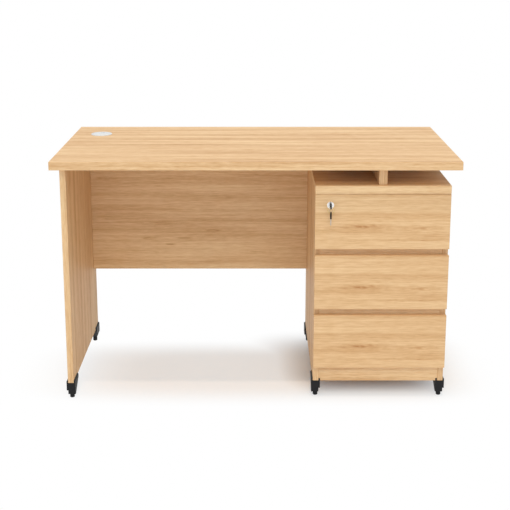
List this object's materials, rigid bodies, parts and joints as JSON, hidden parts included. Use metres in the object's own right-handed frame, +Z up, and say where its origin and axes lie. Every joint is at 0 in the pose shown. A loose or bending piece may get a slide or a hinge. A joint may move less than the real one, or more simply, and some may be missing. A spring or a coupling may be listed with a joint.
{
  "type": "pedestal desk",
  "caption": "Panel-end office desk in pale wood-grain board: rectangular top with cable outlet, panel leg, modesty panel and a fixed pedestal of lockable drawers on runners.",
  "frame": {"origin": "on the floor, under the middle of the desktop", "axes": "+X to the sitter's right, towards the pedestal; +Y to the rear; +Z up"},
  "size_m": [1.2, 0.6, 0.7525],
  "materials": {
    "oak_melamine": "melamine-faced board with a printed pale oak grain, satin",
    "drawer_board": "pale grey melamine-faced board, satin",
    "black_plastic": "moulded black plastic, matt",
    "grey_plastic": "moulded pale grey plastic, satin",
    "zinc_steel": "zinc-plated pressed steel",
    "nickel": "nickel-plated zinc die casting",
    "key_steel": "nickel-plated stamped steel",
    "brass_wire": "bright brass wire"
  },
  "bodies": {
    "carcass": {"desktop": "oak_melamine", "leg_panel": "oak_melamine", "modesty_panel": "oak_melamine", "pedestal_side_left": "oak_melamine", "pedestal_side_right": "oak_melamine", "pedestal_top": "oak_melamine", "pedestal_bottom": "oak_melamine", "pedestal_back": "oak_melamine", "plinth": "oak_melamine", "rail_upper": "oak_melamine", "rail_lower": "oak_melamine", "spacer_board": "oak_melamine", "outlet_sleeve": "grey_plastic", "runner_cabinet_1": "zinc_steel", "runner_cabinet_2": "zinc_steel", "runner_cabinet_3": "zinc_steel", "foot_shoe_leg_front": "black_plastic", "foot_shoe_leg_rear": "black_plastic", "foot_shoe_pedestal_left_front": "black_plastic", "foot_shoe_pedestal_left_rear": "black_plastic", "foot_shoe_pedestal_right_front": "black_plastic", "foot_shoe_pedestal_right_rear": "black_plastic", "strike_plate": "zinc_steel", "cam_fittings": "zinc_steel"},
    "drawer_1": {"drawer_front_1": "oak_melamine", "drawer_sides_1": "drawer_board", "drawer_back_1": "drawer_board", "drawer_bottom_1": "drawer_board", "runner_drawer_1": "zinc_steel", "lock_cylinder": "nickel", "lock_case": "zinc_steel"},
    "runner_1": {"runner_middle_1": "zinc_steel"},
    "drawer_2": {"drawer_front_2": "oak_melamine", "drawer_sides_2": "drawer_board", "drawer_back_2": "drawer_board", "drawer_bottom_2": "drawer_board", "runner_drawer_2": "zinc_steel"},
    "runner_2": {"runner_middle_2": "zinc_steel"},
    "drawer_3": {"drawer_front_3": "oak_melamine", "drawer_sides_3": "drawer_board", "drawer_back_3": "drawer_board", "drawer_bottom_3": "drawer_board", "runner_drawer_3": "zinc_steel"},
    "runner_3": {"runner_middle_3": "zinc_steel"},
    "key": {"lock_plug": "nickel", "key_blade": "key_steel", "key_bow": "black_plastic", "key_ring": "brass_wire"},
    "bolt": {"lock_bolt": "zinc_steel"},
    "spare_key": {"spare_key_blade": "key_steel", "spare_key_bow": "black_plastic"},
    "outlet_cap": {"outlet_cap": "grey_plastic"},
    "foot_pad_leg_front": {"foot_pad_leg_front": "black_plastic"},
    "foot_pad_leg_rear": {"foot_pad_leg_rear": "black_plastic"},
    "foot_pad_pedestal_left_front": {"foot_pad_pedestal_left_front": "black_plastic"},
    "foot_pad_pedestal_left_rear": {"foot_pad_pedestal_left_rear": "black_plastic"},
    "foot_pad_pedestal_right_front": {"foot_pad_pedestal_right_front": "black_plastic"},
    "foot_pad_pedestal_right_rear": {"foot_pad_pedestal_right_rear": "black_plastic"}
  },
  "joints": [
    {"name": "drawer_1_slide", "type": "slide", "parent": "carcass", "child": "drawer_1", "axis": [0, -1, 0], "range_m": [0, 0.4]},
    {"name": "drawer_2_slide", "type": "slide", "parent": "carcass", "child": "drawer_2", "axis": [0, -1, 0], "range_m": [0, 0.4]},
    {"name": "drawer_3_slide", "type": "slide", "parent": "carcass", "child": "drawer_3", "axis": [0, -1, 0], "range_m": [0, 0.4]},
    {"name": "key_turn", "type": "hinge", "parent": "drawer_1", "child": "key", "pos_m": [0.22, -0.272, 0.614], "axis": [0, 1, 0], "range_deg": [0, 90]},
    {"name": "bolt_throw", "type": "slide", "parent": "drawer_1", "child": "bolt", "axis": [0, 0, 1], "range_m": [0, 0.01]},
    {"name": "spare_key_swing", "type": "hinge", "parent": "key", "child": "spare_key", "pos_m": [0.22, -0.2885, 0.6031], "axis": [0, 1, 0], "range_deg": [-90, 0]},
    {"name": "runner_1_slide", "type": "slide", "parent": "carcass", "child": "runner_1", "axis": [0, -1, 0], "range_m": [0, 0.2]},
    {"name": "runner_2_slide", "type": "slide", "parent": "carcass", "child": "runner_2", "axis": [0, -1, 0], "range_m": [0, 0.2]},
    {"name": "runner_3_slide", "type": "slide", "parent": "carcass", "child": "runner_3", "axis": [0, -1, 0], "range_m": [0, 0.2]},
    {"name": "outlet_cap_turn", "type": "hinge", "parent": "carcass", "child": "outlet_cap", "pos_m": [-0.509, 0.154, 0.75], "axis": [0, 0, 1], "continuous": true},
    {"name": "foot_pad_leg_front_level", "type": "slide", "parent": "carcass", "child": "foot_pad_leg_front", "axis": [0, 0, -1], "range_m": [0, 0.01]},
    {"name": "foot_pad_leg_rear_level", "type": "slide", "parent": "carcass", "child": "foot_pad_leg_rear", "axis": [0, 0, -1], "range_m": [0, 0.01]},
    {"name": "foot_pad_pedestal_left_front_level", "type": "slide", "parent": "carcass", "child": "foot_pad_pedestal_left_front", "axis": [0, 0, -1], "range_m": [0, 0.01]},
    {"name": "foot_pad_pedestal_left_rear_level", "type": "slide", "parent": "carcass", "child": "foot_pad_pedestal_left_rear", "axis": [0, 0, -1], "range_m": [0, 0.01]},
    {"name": "foot_pad_pedestal_right_front_level", "type": "slide", "parent": "carcass", "child": "foot_pad_pedestal_right_front", "axis": [0, 0, -1], "range_m": [0, 0.01]},
    {"name": "foot_pad_pedestal_right_rear_level", "type": "slide", "parent": "carcass", "child": "foot_pad_pedestal_right_rear", "axis": [0, 0, -1], "range_m": [0, 0.01]}
  ],
  "couplings": [
    {"joint": "runner_1_slide", "follows": "drawer_1_slide", "ratio": 0.5},
    {"joint": "runner_2_slide", "follows": "drawer_2_slide", "ratio": 0.5},
    {"joint": "runner_3_slide", "follows": "drawer_3_slide", "ratio": 0.5},
    {"joint": "key_turn", "follows": "bolt_throw", "rad_per_m": 157.07},
    {"joint": "spare_key_swing", "follows": "bolt_throw", "rad_per_m": -157.07}
  ]
}
